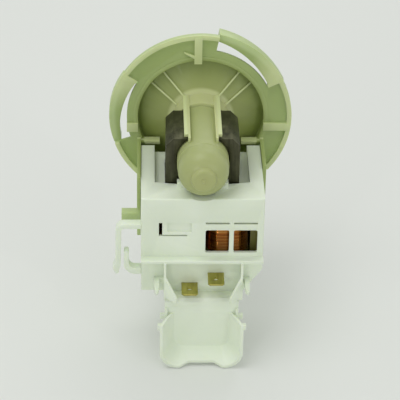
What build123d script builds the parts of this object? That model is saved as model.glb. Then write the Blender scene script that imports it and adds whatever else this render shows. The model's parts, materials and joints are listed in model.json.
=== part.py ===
from build123d import *
import math
import os

# Drain pump with a two-pole synchronous motor. Millimetres.
# The rotor turns about the Y axis. +Y points into the sump, -Y along the rotor can to the front,
# +Z from the coil box up to the can. Y = 0 is the sump side of the hub that the bearing carrier sits on.

# Bayonet flange
RIM_R = 36.0
LUG_STAND = 0.3
RIM_WALL = 1.8
RIM_FRONT = -1.6
FLANGE_BACK = 0.8
PLATE = 2.0
FLANGE_PLATE = 1.2
DISH_FLOOR = 4.0
DISH_R = 24.9
STEP_R = 26.6
SPIGOT_R = 26.6
SPIGOT_BEAD = 1.4
HUB_FACE = -2.0
SEAL_IN = 26.0
SEAL_OUT = 27.6
SEAL_WIDTH = 3.2
SEAL_NECK = 0.6
SEAT_GAP = 0.4
SEAT_RELIEF = 0.2
BAYONETS = 3
BAYONET_START = 11.0
BAYONET_SWEEP = 51.0
LUG_WIDTH = 6.7
RAMP_WIDTH = 2.7
RAMP_RISE = 4.7
RAMP_SETBACK = 2.2
LUG_OVERLAP = 0.8
SLOT_TIP = 0.8
POST_WIDTH = 3.0
POST_TOP_X = -1.4
POST_SIDE_Z = -4.0
POST_FRONT = -1.8
POST_INNER = 1.0
GUSSET_REACH = 4.0
DISH_RIB_WALL = 0.6
DISH_RIB_HEIGHT = 0.8
DISH_RIBS = ((6.0, 9.2, 15.5, 19.0), (9.0, 6.0, 20.0, 14.0))

# Rotor can
CAN_R = 9.9
CAN_WALL = 0.9
CAN_STEP = 0.25
CAN_STEP_Y = -39.4
CAN_DOME_Y = -42.7
NUB_R = 5.0
NUB_ROUND = 1.3
NUB_Y = -49.6
CAN_TIP = -51.4
COLLAR_R = 11.3
COLLAR_TIP = -10.0
RIB_IN = 4.8
RIB_OUT = 7.2
RIB_TOP = 10.5
RIB_FLANGE_TIP = -33.5
RIB_WEB_TIP = -36.7
RIB_WALL = 0.9

# Arms that hold the coil housing
BRACKET_GAP = 0.2
BRACKET_WALL = 1.4
BRACKET_TIP = -33.0
BRACKET_BOTTOM = -35.0
BRACKET_RIGHT_TIP = -24.0
BRACKET_RIGHT_BOTTOM = -22.0
LUG_REACH = 6.0
LUG_LENGTH = 4.0
LUG_TOP = -25.0
LUG_HEIGHT = 3.4
SHELF_IN = 16.2
SHELF_FRONT = -3.4
SHELF_TOP = -9.6
SHELF_THICK = 1.2

# Stator core
CORE_HALF = 14.1
CORE_TOP = 9.0
CORE_CHAMFER = 3.0
CORE_FRONT = -34.7
CORE_STACK = 22.8
LEG_WIDTH = 8.1
POLE_GAP = 0.4
YOKE_TOP = -41.0
YOKE_HEIGHT = 8.0

# Coils
BOBBIN_WALL = 0.9
BOBBIN_FIT = 0.2
COIL_TOP = -16.0
COIL_LENGTH = 23.4
CHEEK = 1.0
WINDING_DEPTH = 3.0
COIL_CORNER = 4.5
WIRE = 1.2
COIL_TURNS = 13
LAYER_GAP = 0.05
GUARD_WIDTH = 2.8
GUARD_GAP = 0.5
GUARD_WALL = 0.9
GUARD_FRONT = -41.0

# Coil housing
BOX_HALF = 23.5
BOX_TOP = -10.0
BOX_FRONT = -47.3
BOX_REAR = -5.8
BOX_BOTTOM = -51.2
BOX_WALL = 1.5
BOX_EDGE = 0.6
POCKET_HALF = 18.3
POCKET_DEPTH = 3.0
POCKET_FRONT = -36.4
POCKET_SAG = 1.8
SCOOP_GAP = 0.9
WINDOW_WIDTH = 9.1
WINDOW_HEIGHT = 10.2
WINDOW_TOP = -23.8
WINDOW_XS = (5.7, 16.5)
WINDOW_CORNER = 0.8
SLOT_Z = -20.8
SLOT_HEIGHT = 0.8
LEDGE_Z = -35.5
LEDGE_THICK = 1.7
LEDGE_REACH = 3.6
BASE_CUT_X = 7.3
BASE_CUT_Z = 9.9
COVER_RIB_X = 7.0
PAD = (-13.4, -4.2, -24.6, -20.5)
PAD_DEPTH = 0.8
NOTCH_UPRIGHT = (-16.7, -15.4, -26.5, -20.6)
NOTCH_LEVEL = (-15.5, -5.9, -26.5, -25.9)
CRADLE = (5.2, 9.8, -39.2, -36.2)
CRADLE_TOP = -7.6
HOOK_THICK = 4.0
HOOK_TOP = -21.4
HOOK_BAR = 2.0
HOOK_REACH = 9.7
HOOK_STRIP = 2.2
HOOK_NOSE = -43.8
HOOK_CORNER = 3.2
CATCH_REACH = 6.6
CATCH_WALL = 1.9
CATCH_TOP = -33.6
CATCH_FLOOR = -41.2
CATCH_BOTTOM = -43.8
CATCH_CORNER = 4.4

# Terminal shroud, tabs and cover
SHROUD_LEFT = 14.7
SHROUD_RIGHT = 15.8
SHROUD_WALL = 0.9
SHROUD_FRONT = -52.0
SHROUD_FLOOR = -51.6
FLOOR_THICK = 1.0
FIN_REACH = 4.6
FIN_FOOT = 0.2
FIN_HEIGHT = 9.4
FIN_TIP_HEIGHT = 2.2
TAB_WIDTH = 6.3
TAB_THICK = 0.8
TAB_LENGTH = 8.3
TAB_HOLE_R = 0.85
TAB_HOLE_POS = 4.0
TAB_TAIL = 5.0
TAB_FIT = 0.02
TAB_LEFT = (-4.7, -47.7)
TAB_RIGHT = (5.4, -43.1)
HINGE_GAP = 0.6
COVER_SKIN = 1.2
COVER_LENGTH = 26.7
COVER_NECK = 5.6
COVER_HALF = 16.2
NECK_HALF = 14.3
TRAY_DEPTH = 8.0
TRAY_WALL = 1.1
TRAY_CORNER = 7.0
TRAY_SPLAY = 5.0
NECK_RIB = 1.2
NECK_RIB_POS = 3.2
NOTCH_HALF = 5.0
NOTCH_SLOPE = 3.4
NOTCH_DEPTH = 1.9
NOTCH_ROUND = 2.4
SHOULDER = 3.0
SHOULDER_DROP = 0.8
SHOULDER_HALF = 16.1
BUMP_POS = 7.9
BUMP_OUT = 0.9
BUMP_SIZE = 2.0
ARM_IN = 16.6
ARM_WIDTH = 2.0
ARM_LENGTH = 12.6
ARM_POINT = 4.0
ARM_HEIGHT = 2.2
ARM_TIP_HEIGHT = 0.7
ARM_TOP = -44.7

# Rotating parts
SHAFT_R = 1.5
RUNNING = 0.05
SHAFT_REAR = -47.6
SHAFT_FRONT = 20.0
REAR_POCKET_R = 5.2
REAR_POCKET_END = -48.4
BUSH_R = 3.6
BUSH_LENGTH = 5.6
CUSHION_WALL = 1.6
MAGNET_R = 8.5
MAGNET_LENGTH = 29.0
MAGNET_REAR = -38.4
CORE_SLEEVE_R = 3.4
SLEEVE_DISC = 1.2
WASHER_THICK = 0.5
WASHER_R = 3.0
CARRIER_PLUG = 7.4
CARRIER_HEAD_R = 12.6
CARRIER_HEAD = 1.6
FRONT_BUSH_REAR = -5.8
RING_CORD = 1.5
LIP_SEAL_R = 5.0
LIP_SEAL_LENGTH = 3.2
HUB_R = 9.0
HUB_WALL = 1.5
HUB_REAR = 7.4
HUB_LENGTH = 9.6
HUB_LID = 1.2
VANES = 6
VANE_R = 19.5
VANE_THICK = 1.7
VANE_LENGTH = 9.0
DOG_R = 3.4
DOG_REACH = 6.9
DOG_ANGLE = 40.0
STOP_ANGLE = 36.0
BUFFER_ANGLE = 12.0
DOG_PLAY_GAP = 3.0
CLIP_R = 3.6
CLIP_THICK = 0.6


def about_y(r_in, r_out, y0, y1):
    """A ring, or a disc if r_in is 0, round the rotor axis from y0 to y1."""
    turn = Plane.XZ * Circle(r_out)
    if r_in > 0:
        turn -= Plane.XZ * Circle(r_in)
    return Pos(0, y1, 0) * extrude(turn, amount=y1 - y0)


def revolve_y(points):
    """A closed outline of (radius, y) points turned about the rotor axis."""
    outline = make_face(Polyline([(r, y) for r, y in points], close=True))
    return revolve(outline, axis=Axis.Y)


def block(x0, x1, y0, y1, z0, z1):
    """A box between two corners."""
    return Pos((x0 + x1) / 2, (y0 + y1) / 2, (z0 + z1) / 2) * Box(abs(x1 - x0), abs(y1 - y0), abs(z1 - z0))


def prism_y(outline, y0, y1):
    """A face drawn in X and Z, made solid from y0 to y1."""
    return Pos(0, y1, 0) * extrude(Plane.XZ * outline, amount=y1 - y0)


def clock(angle):
    """Turn about the rotor axis, clockwise from the top seen from the motor side."""
    return Rot(0, angle, 0)


def sector(r_in, r_out, start, sweep, y0, y1):
    """Part of a ring, with its angles measured clockwise from the top."""
    steps = max(2, math.ceil(sweep / 60))
    reach = r_out / math.cos(math.radians(sweep / steps / 2)) * 1.02
    corners = [(0, 0)]
    for i in range(steps + 1):
        a = math.radians(start + sweep * i / steps)
        corners.append((reach * math.sin(a), reach * math.cos(a)))
    wedge = make_face(Polyline(corners, close=True))
    return about_y(r_in, r_out, y0, y1) & prism_y(wedge, y0, y1)


LUG_R = RIM_R + LUG_STAND
SLOT_IN = RIM_R - LUG_WIDTH
RAMP_IN = RIM_R - RAMP_WIDTH
SEAT_IN = SEAL_OUT + SEAT_GAP
CAN_IN = CAN_R - CAN_WALL
SPIGOT_END = DISH_FLOOR + PLATE
SEAL_FRONT = SPIGOT_END - SPIGOT_BEAD - SEAL_WIDTH
WET_FACE = HUB_FACE + PLATE
CORE_REAR = CORE_FRONT + CORE_STACK
LEG_MID = CORE_HALF - LEG_WIDTH / 2
COIL_BOTTOM = COIL_TOP - COIL_LENGTH
CORE_MIDDLE = (CORE_FRONT + CORE_REAR) / 2
GUARD_OUT = BOX_HALF - BOX_WALL - GUARD_GAP
GUARD_IN = GUARD_OUT - GUARD_WIDTH
CLEAR = 4 * RIM_R
HINGE_Y = SHROUD_FRONT - HINGE_GAP / 2
HINGE_Z = SHROUD_FLOOR - FLOOR_THICK + HINGE_GAP / 3


# Bayonet flange with the rotor can, one moulding
def flange_disc():
    """Rim, channel, dish and hub, with the spigot, the seat of its seal and a groove round its foot."""
    channel = FLANGE_BACK - FLANGE_PLATE
    dish_edge = channel - 0.3
    bead = SPIGOT_END - SPIGOT_BEAD
    relief = FLANGE_BACK - SEAT_RELIEF
    return revolve_y([
        (RIM_R, RIM_FRONT), (RIM_R, FLANGE_BACK), (SEAT_IN, FLANGE_BACK), (SEAT_IN, relief),
        (SPIGOT_R, relief), (SPIGOT_R, SEAL_FRONT),
        (SEAL_IN, SEAL_FRONT), (SEAL_IN, bead), (SPIGOT_R, bead), (SPIGOT_R, SPIGOT_END),
        (DISH_R, SPIGOT_END), (COLLAR_R + 2.5, WET_FACE), (CAN_IN, WET_FACE),
        (CAN_IN, HUB_FACE), (COLLAR_R, HUB_FACE), (DISH_R, DISH_FLOOR), (DISH_R, dish_edge),
        (STEP_R, dish_edge), (STEP_R, channel), (RIM_R - RIM_WALL, channel),
        (RIM_R - RIM_WALL, RIM_FRONT)])


def rotor_can():
    dome_r = CAN_R - CAN_STEP
    neck_r = NUB_R - 0.2
    side = Line((CAN_R, HUB_FACE + 1), (CAN_R, CAN_STEP_Y))
    step = Polyline((CAN_R, CAN_STEP_Y), (dome_r, CAN_STEP_Y - CAN_STEP), (dome_r, CAN_DOME_Y))
    bulge = (NUB_R + (dome_r - NUB_R) * 0.74, CAN_DOME_Y + (NUB_Y - CAN_DOME_Y) * 0.62)
    dome = ThreePointArc((dome_r, CAN_DOME_Y), bulge, (NUB_R, NUB_Y))
    nub_side = Line((NUB_R, NUB_Y), (neck_r, CAN_TIP + NUB_ROUND))
    lean = NUB_ROUND * (1 - math.sqrt(0.5))
    nub_edge = ThreePointArc((neck_r, CAN_TIP + NUB_ROUND), (neck_r - lean, CAN_TIP + lean),
                             (neck_r - NUB_ROUND, CAN_TIP))
    inside = Polyline((neck_r - NUB_ROUND, CAN_TIP), (0, CAN_TIP), (0, REAR_POCKET_END),
                      (REAR_POCKET_R, REAR_POCKET_END), (REAR_POCKET_R, CAN_DOME_Y + 1.0),
                      (CAN_IN, CAN_DOME_Y + 2.4), (CAN_IN, HUB_FACE + 1), (CAN_R, HUB_FACE + 1))
    body = revolve(make_face([side, step, dome, nub_side, nub_edge, inside]), axis=Axis.Y)
    return body + about_y(CAN_R - 0.2, COLLAR_R, COLLAR_TIP, HUB_FACE + 1)


def can_ribs():
    ribs = []
    for side in (-1, 1):
        flange = block(side * RIB_IN, side * RIB_OUT, RIB_FLANGE_TIP, HUB_FACE + 0.5, CORE_TOP + 0.1, RIB_TOP)
        web = block(side * RIB_IN, side * (RIB_IN + RIB_WALL), RIB_WEB_TIP, HUB_FACE + 0.5,
                    CAN_R - 2, RIB_TOP)
        ribs += [flange, web - about_y(0, CAN_IN + 0.2, RIB_WEB_TIP - 1, HUB_FACE + 1)]
    return ribs


def tilted_slab(rise, y0, y1):
    """A slab under a bayonet lug that climbs by rise over the lug, between y0 and y1 at the lug's far end."""
    half = math.radians(BAYONET_SWEEP / 2)
    slope = math.degrees(math.atan(rise / (2 * RIM_R * math.sin(half))))
    return Pos(0, (y0 + y1) / 2 + rise / 2, 0) * Rot(0, 0, -slope) * Box(4 * RIM_R, y1 - y0, 4 * RIM_R)


def bayonet_lug():
    """A ramp that leaves the rim towards the sump and comes back to it, open along its inner edge."""
    deep = 3 * RIM_R
    slab = tilted_slab(RAMP_RISE, FLANGE_BACK - deep, FLANGE_BACK)
    slab &= tilted_slab(RAMP_SETBACK, RIM_FRONT, RIM_FRONT + deep)
    ring = sector(SLOT_IN + 0.4, LUG_R, -BAYONET_SWEEP / 2, BAYONET_SWEEP + LUG_OVERLAP, -RIM_R, RIM_R)
    return clock(BAYONET_START + BAYONET_SWEEP / 2) * (slab & ring) - bayonet_slot()


def face_point(r, angle):
    """A point of the flange's face at radius r, with its angle measured clockwise from the top."""
    return (r * math.sin(math.radians(angle)), r * math.cos(math.radians(angle)))


def bayonet_slot():
    """The wedge-shaped slot under a lug, wide at the lug's start and SLOT_TIP wide at its end."""
    start = BAYONET_START
    end = BAYONET_START + BAYONET_SWEEP - 2 * LUG_OVERLAP
    mid = (start + end) / 2
    outer_end = SLOT_IN + SLOT_TIP
    outer_mid = (RAMP_IN + outer_end) / 2 - 0.3
    edge_in = ThreePointArc(face_point(SLOT_IN, start), face_point(SLOT_IN, mid), face_point(SLOT_IN, end))
    far_side = Line(face_point(SLOT_IN, end), face_point(outer_end, end))
    edge_out = ThreePointArc(face_point(outer_end, end), face_point(outer_mid, mid),
                             face_point(RAMP_IN, start))
    near_side = Line(face_point(RAMP_IN, start), face_point(SLOT_IN, start))
    return prism_y(make_face([edge_in, far_side, edge_out, near_side]), RIM_FRONT - 1, SPIGOT_END)


def flange_posts():
    """Three square posts across the channel, a little proud of the rim, and the gusset beside the top one."""
    inner = DISH_R
    outer = RIM_R - RIM_WALL / 2
    half = POST_WIDTH / 2
    back = FLANGE_BACK - 0.3
    side = POST_TOP_X - half
    gusset = Polyline([(side + 0.2, inner + 1.0), (side - GUSSET_REACH, inner + 3.6),
                       (side - GUSSET_REACH, inner + 4.0), (side + 0.2, inner + 2.4)], close=True)
    return [block(POST_TOP_X - half, POST_TOP_X + half, POST_FRONT, back, inner - POST_INNER, outer),
            block(inner, outer, POST_FRONT, back, POST_SIDE_Z - half, POST_SIDE_Z + 1.2 * half),
            block(-SLOT_IN, -inner, POST_FRONT, back, POST_SIDE_Z - 1.5 * half, POST_SIDE_Z + half),
            prism_y(make_face(gusset), RIM_FRONT, back)]


def dish_ribs():
    """Four thin ribs over the dish that tie the hub to its wall, in two pairs."""
    bars = []
    layer = revolve_y([(CAN_IN, HUB_FACE - DISH_RIB_HEIGHT), (COLLAR_R, HUB_FACE - DISH_RIB_HEIGHT),
                       (DISH_R + 0.5, DISH_FLOOR - DISH_RIB_HEIGHT), (DISH_R + 0.5, DISH_FLOOR + 0.3),
                       (COLLAR_R, HUB_FACE + 0.3), (CAN_IN, HUB_FACE + 0.3)])
    half = DISH_RIB_WALL / 2
    for x0, z0, x1, z1 in DISH_RIBS:
        turn = math.degrees(math.atan2(z1 - z0, x1 - x0))
        bar = block(0, math.hypot(x1 - x0, z1 - z0), HUB_FACE - PLATE, SPIGOT_END, -half, half)
        bar = Pos(x0, 0, z0) * Rot(0, -turn, 0) * bar & layer
        bars += [bar, mirror(bar, Plane.YZ)]
    return bars


def side_brackets():
    """Arms of the flange that hold the coil housing at its sides, and the shelves behind it."""
    inner = BOX_HALF + BRACKET_GAP
    outer = inner + BRACKET_WALL
    back = FLANGE_BACK - 0.3
    pieces = [block(-outer, -inner, BRACKET_TIP, back, BRACKET_BOTTOM, BOX_TOP + 1.0),
              block(-outer - LUG_REACH, -outer + 0.2, BRACKET_TIP, BRACKET_TIP + LUG_LENGTH,
                    LUG_TOP - LUG_HEIGHT, LUG_TOP),
              block(inner, outer, BRACKET_RIGHT_TIP, back, BRACKET_RIGHT_BOTTOM, BOX_TOP + 1.0)]
    for side in (-1, 1):
        pieces.append(block(side * SHELF_IN, side * (inner + 0.5), SHELF_FRONT, back,
                            SHELF_TOP - SHELF_THICK, SHELF_TOP))
    return pieces


def bayonet_flange():
    body = flange_disc()
    gap = sector(SLOT_IN, RIM_R + 1, BAYONET_START, BAYONET_SWEEP, RIM_FRONT - 1, FLANGE_BACK + 1)
    for i in range(BAYONETS):
        body -= clock(360 / BAYONETS * i) * gap
    for i in range(BAYONETS):
        body += clock(360 / BAYONETS * i) * bayonet_lug()
    body += rotor_can()
    for piece in can_ribs() + flange_posts() + dish_ribs() + side_brackets():
        body += piece
    return body


def flange_seal():
    """A ring of rubber with two lips, held between the flange and the bead of the spigot."""
    end = SEAL_FRONT + SEAL_WIDTH
    middle = (SEAL_FRONT + end) / 2
    shoulder = SEAL_OUT - SEAL_NECK
    return revolve_y([
        (SEAL_IN, SEAL_FRONT), (shoulder, SEAL_FRONT), (SEAL_OUT, SEAL_FRONT + SEAL_NECK),
        (SEAL_OUT, SEAL_FRONT + 2 * SEAL_NECK), (shoulder, middle), (SEAL_OUT, end - 2 * SEAL_NECK),
        (SEAL_OUT, end - SEAL_NECK), (shoulder, end), (SEAL_IN, end)])


# Stator
def stator_core():
    pole_r = CAN_R + POLE_GAP
    yoke_bottom = YOKE_TOP - YOKE_HEIGHT
    outer = Polyline([(-CORE_HALF, yoke_bottom), (CORE_HALF, yoke_bottom),
                      (CORE_HALF, CORE_TOP - CORE_CHAMFER),
                      (CORE_HALF - CORE_CHAMFER, CORE_TOP), (-CORE_HALF + CORE_CHAMFER, CORE_TOP),
                      (-CORE_HALF, CORE_TOP - CORE_CHAMFER)], close=True)
    sheet = make_face(outer) - Circle(pole_r)
    inner = CORE_HALF - LEG_WIDTH
    sheet -= Pos(0, YOKE_TOP / 2) * Rectangle(2 * inner, -YOKE_TOP)
    mouth = RIB_IN + RIB_WALL + 0.15
    sheet -= Pos(0, CORE_TOP / 2 + 1) * Rectangle(2 * mouth, CORE_TOP + 2)
    return prism_y(sheet, CORE_FRONT, CORE_REAR)


def leg_ring(grow_in, grow_out, z0, z1, side, corner):
    """A rectangular sleeve round one leg of the core."""
    width = LEG_WIDTH + 2 * grow_out
    depth = CORE_STACK + 2 * grow_out
    outer = extrude(RectangleRounded(width, depth, corner), amount=z1 - z0)
    hole = extrude(Rectangle(LEG_WIDTH + 2 * grow_in, CORE_STACK + 2 * grow_in), amount=z1 - z0)
    return Pos(side * LEG_MID, CORE_MIDDLE, z0) * (outer - hole)


def leg_hole(grow):
    """The space round one leg, grown by grow on each side and drawn at X = 0."""
    section = Pos(0, CORE_MIDDLE) * Rectangle(LEG_WIDTH + 2 * grow, CORE_STACK + 2 * grow)
    return extrude(section, amount=CLEAR, both=True)


def bobbin(side):
    """A sleeve with two cheeks, and a plate in front of its outer edge."""
    reach = BOBBIN_FIT + BOBBIN_WALL + WINDING_DEPTH + WIRE * 0.3
    body = leg_ring(BOBBIN_FIT, BOBBIN_FIT + BOBBIN_WALL, COIL_BOTTOM - CHEEK, COIL_TOP + CHEEK, side, 1.0)
    guard_back = CORE_FRONT - BOBBIN_FIT - BOBBIN_WALL - 1.0
    for z in (COIL_BOTTOM - CHEEK, COIL_TOP):
        cheek = leg_ring(BOBBIN_FIT, reach, z, z + CHEEK, side, 2.0)
        cheek += block(side * (LEG_MID + LEG_WIDTH / 2), side * GUARD_OUT, GUARD_FRONT, guard_back,
                       z, z + CHEEK)
        body += cheek
    return body + block(side * GUARD_IN, side * GUARD_OUT, GUARD_FRONT, GUARD_FRONT + GUARD_WALL,
                        COIL_BOTTOM - CHEEK, COIL_TOP + CHEEK)


def biarc(start, heading, end, leaving):
    """Two arcs that meet with one tangent, from start along heading to end along leaving."""
    chord = end - start
    total = heading + leaving
    a = 2 * (1 - heading.dot(leaving))
    b = 2 * chord.dot(total)
    c = -chord.dot(chord)
    reach = (-b + math.sqrt(b * b - 4 * a * c)) / (2 * a)
    joint = (start + heading * reach + end - leaving * reach) * 0.5
    between = (end - leaving * reach) - (start + heading * reach)
    return [TangentArc(start, joint, tangent=heading), TangentArc(joint, end, tangent=between.normalized())]


def winding_line(side):
    """The middle of the wire: straight along each side of the leg, two arcs at each corner, climbing."""
    grow = BOBBIN_FIT + BOBBIN_WALL + WINDING_DEPTH - WIRE / 2
    half_x = LEG_WIDTH / 2 + grow
    half_y = CORE_STACK / 2 + grow
    middle = Vector(side * LEG_MID, CORE_MIDDLE, 0)
    loop = 4 * (half_x + half_y - 2 * COIL_CORNER) + 2 * math.pi * COIL_CORNER
    slope = (COIL_LENGTH - WIRE - 0.4) / COIL_TURNS / loop
    z = COIL_BOTTOM + 0.2 + WIRE / 2
    stops = []
    for i in range(4 * COIL_TURNS):
        outward = Vector(*((1, 0), (0, 1), (-1, 0), (0, -1))[i % 4], 0)
        along = Vector(-outward.Y, outward.X, 0)
        half, away = half_x - COIL_CORNER, half_y
        if i % 2 == 0:
            half, away = half_y - COIL_CORNER, half_x
        heading = Vector(along.X, along.Y, slope).normalized()
        start = middle + outward * away - along * half + Vector(0, 0, z)
        end = start + Vector(along.X, along.Y, slope) * (2 * half)
        stops.append((start, end, heading))
        z = end.Z + math.pi / 2 * COIL_CORNER * slope
    edges = []
    for i, (start, end, heading) in enumerate(stops):
        edges.append(Line(start, end))
        if i + 1 < len(stops):
            edges += biarc(end, heading, stops[i + 1][0], stops[i + 1][2])
    return Wire(edges)


def least_gap(path, turns):
    """The least clear distance between one turn and the next, on points along the wire."""
    count = turns * 48
    places = [path.position_at(i / count) for i in range(count + 1)]
    gap = min((places[i] - places[j]).length for i in range(count + 1)
              for j in range(i + 24, min(count + 1, i + 72)))
    return gap - WIRE


def coil(side):
    """A plain wound body with its outer layer of wire as one tube over it."""
    under = BOBBIN_FIT + BOBBIN_WALL + WINDING_DEPTH - WIRE - LAYER_GAP
    face = RectangleRounded(LEG_WIDTH + 2 * under, CORE_STACK + 2 * under, COIL_CORNER - WIRE / 2)
    body = extrude(Pos(0, CORE_MIDDLE) * face, amount=COIL_LENGTH) - leg_hole(BOBBIN_FIT + BOBBIN_WALL)
    body = Pos(side * LEG_MID, 0, COIL_BOTTOM) * body
    path = winding_line(side)
    print("least gap between turns of the winding, mm:", round(least_gap(path, COIL_TURNS), 3))
    section = Plane(origin=path.position_at(0), z_dir=path.tangent_at(0)) * RegularPolygon(WIRE / 2, 6)
    return Compound(children=[body.solid(), sweep(section, path=path).solid()])


def terminal(place):
    x, top = place
    tip = BOX_FRONT - TAB_LENGTH
    back = BOX_FRONT + TAB_TAIL
    bottom = top - TAB_THICK
    blade = block(x - TAB_WIDTH / 2, x + TAB_WIDTH / 2, tip, back, bottom, top)
    blade = chamfer(blade.edges().filter_by(Axis.Z).group_by(Axis.Y)[0], 1.0)
    blade = chamfer(blade.edges().filter_by(Axis.X).group_by(Axis.Y)[0], TAB_THICK * 0.3)
    hole = Pos(x, tip + TAB_HOLE_POS, bottom) * Cylinder(TAB_HOLE_R, 4 * TAB_THICK)
    tail = block(x - 1.0, x + 1.0, back - 0.1, back + 3.0, bottom, top)
    return blade - hole + tail


# Coil housing
def housing_outline(inset):
    """The front view of the box, with its lower right corner cut off."""
    half = BOX_HALF - inset
    return make_face(Polyline([
        (-half, BOX_BOTTOM), (BOX_HALF - BASE_CUT_X - inset, BOX_BOTTOM),
        (half, BOX_BOTTOM + BASE_CUT_Z + inset * 0.5), (half, BOX_TOP - inset),
        (-half, BOX_TOP - inset)], close=True))


def housing_shell():
    body = prism_y(housing_outline(0), BOX_FRONT, BOX_REAR)
    front_top = body.edges().filter_by(Axis.X).group_by(Axis.Z)[-1].sort_by(Axis.Y)[0]
    body = fillet([front_top] + body.edges().filter_by(Axis.Z).group_by(Axis.Y)[0], BOX_EDGE)
    floor_z = BOX_TOP - POCKET_DEPTH - BOX_WALL
    cavity = prism_y(housing_outline(BOX_WALL), BOX_FRONT + BOX_WALL, BOX_REAR - BOX_WALL)
    cavity &= block(-CLEAR, CLEAR, -CLEAR, CLEAR, -CLEAR, floor_z)
    return body - cavity


def pocket():
    """The recess in the top that the legs of the core go down through, open at the back."""
    back = BOX_REAR + 1
    sides = POCKET_FRONT + POCKET_SAG
    edges = [ThreePointArc((-POCKET_HALF, sides), (0, POCKET_FRONT), (POCKET_HALF, sides)),
             Polyline((POCKET_HALF, sides), (POCKET_HALF, back), (-POCKET_HALF, back), (-POCKET_HALF, sides))]
    return Pos(0, 0, BOX_TOP - POCKET_DEPTH) * extrude(make_face(edges), amount=POCKET_DEPTH + 1)


def leg_holes():
    fit = BOBBIN_FIT
    return [block(side * (CORE_HALF + fit), side * (CORE_HALF - LEG_WIDTH - fit), CORE_FRONT - fit,
                  CORE_REAR + fit, BOX_TOP - POCKET_DEPTH - BOX_WALL - 1, BOX_TOP) for side in (-1, 1)]


def front_openings():
    """Two windows with a slot over each, the cut round the spring tongue and the shallow pad on it."""
    cuts = []
    through = (BOX_FRONT - 1, BOX_FRONT + BOX_WALL + 1)
    for x in WINDOW_XS:
        window = RectangleRounded(WINDOW_WIDTH, WINDOW_HEIGHT, WINDOW_CORNER)
        cuts.append(prism_y(Pos(x, WINDOW_TOP - WINDOW_HEIGHT / 2) * window, *through))
        cuts.append(prism_y(Pos(x, SLOT_Z) * Rectangle(WINDOW_WIDTH, SLOT_HEIGHT), *through))
    for x0, x1, z0, z1 in (NOTCH_UPRIGHT, NOTCH_LEVEL):
        cuts.append(block(x0, x1, *through, z0, z1))
    cuts.append(block(PAD[0], PAD[1], BOX_FRONT - 1, BOX_FRONT + PAD_DEPTH, PAD[2], PAD[3]))
    return cuts


def tab_slots():
    half = TAB_WIDTH / 2 + TAB_FIT
    return [block(x - half, x + half, BOX_FRONT - 1, BOX_FRONT + TAB_TAIL + 1,
                  top - TAB_THICK - TAB_FIT, top + TAB_FIT) for x, top in (TAB_LEFT, TAB_RIGHT)]


def terminal_shroud():
    """Roof, floor, side walls, bent guide fins and latch arms round the two tabs, on the front of the box."""
    roof = block(-BOX_HALF, BOX_HALF, BOX_FRONT - LEDGE_REACH, BOX_FRONT, LEDGE_Z - LEDGE_THICK, LEDGE_Z)
    body = fillet(roof.edges().filter_by(Axis.X).group_by(Axis.Y)[0], BOX_EDGE)
    bottom = SHROUD_FLOOR - FLOOR_THICK
    body += block(-SHROUD_LEFT, SHROUD_RIGHT, SHROUD_FRONT, BOX_FRONT + BOX_WALL, bottom, SHROUD_FLOOR)
    body += block(-SHROUD_LEFT, SHROUD_RIGHT, BOX_FRONT, BOX_FRONT + BOX_WALL, bottom, BOX_BOTTOM)
    for side, outer in ((-1, SHROUD_LEFT), (1, SHROUD_RIGHT)):
        body += block(side * (outer - SHROUD_WALL), side * outer, SHROUD_FRONT, BOX_FRONT,
                      bottom, LEDGE_Z - LEDGE_THICK / 2)
        body += guide_fin(side, outer)
        body += latch_arm(side, outer)
    return body


def guide_fin(side, outer):
    """A fin that leaves the side wall at 45 degrees, inwards and forwards, under a sloping top edge."""
    length = FIN_REACH * math.sqrt(2)
    foot = SHROUD_FLOOR + FIN_FOOT
    outline = make_face(Polyline([(0, foot), (length, foot), (length, foot + FIN_TIP_HEIGHT),
                                  (0, foot + FIN_HEIGHT)], close=True))
    fin = Pos(-outer, SHROUD_FRONT + 0.05, 0) * Rot(0, 0, -45) * prism_y(outline, 0, SHROUD_WALL)
    return fin if side < 0 else mirror(fin, Plane.YZ)


def latch_arm(side, outer_wall):
    """A springy arm beside the shroud, pointed at its tip."""
    tip = BOX_FRONT - ARM_LENGTH
    point = tip + ARM_POINT
    bottom = ARM_TOP - ARM_HEIGHT
    outer = ARM_IN + ARM_WIDTH
    top_view = make_face(Polyline([(ARM_IN - 0.3, BOX_FRONT), (outer, BOX_FRONT), (outer - 0.3, point),
                                   (ARM_IN + 0.9, tip), (ARM_IN + 0.1, point)], close=True))
    side_view = make_face(Plane.YZ * Polyline([
        (BOX_FRONT, bottom), (point, bottom), (tip, ARM_TOP - ARM_TIP_HEIGHT), (tip, ARM_TOP),
        (BOX_FRONT, ARM_TOP)], close=True))
    arm = Pos(0, 0, bottom) * extrude(top_view, amount=ARM_HEIGHT)
    arm = arm & extrude(side_view, amount=CLEAR, dir=(1, 0, 0))
    arm += block(outer_wall - 0.4, ARM_IN + 0.4, BOX_FRONT - 1.6, BOX_FRONT, bottom, ARM_TOP)
    return arm if side > 0 else mirror(arm, Plane.YZ)


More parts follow.
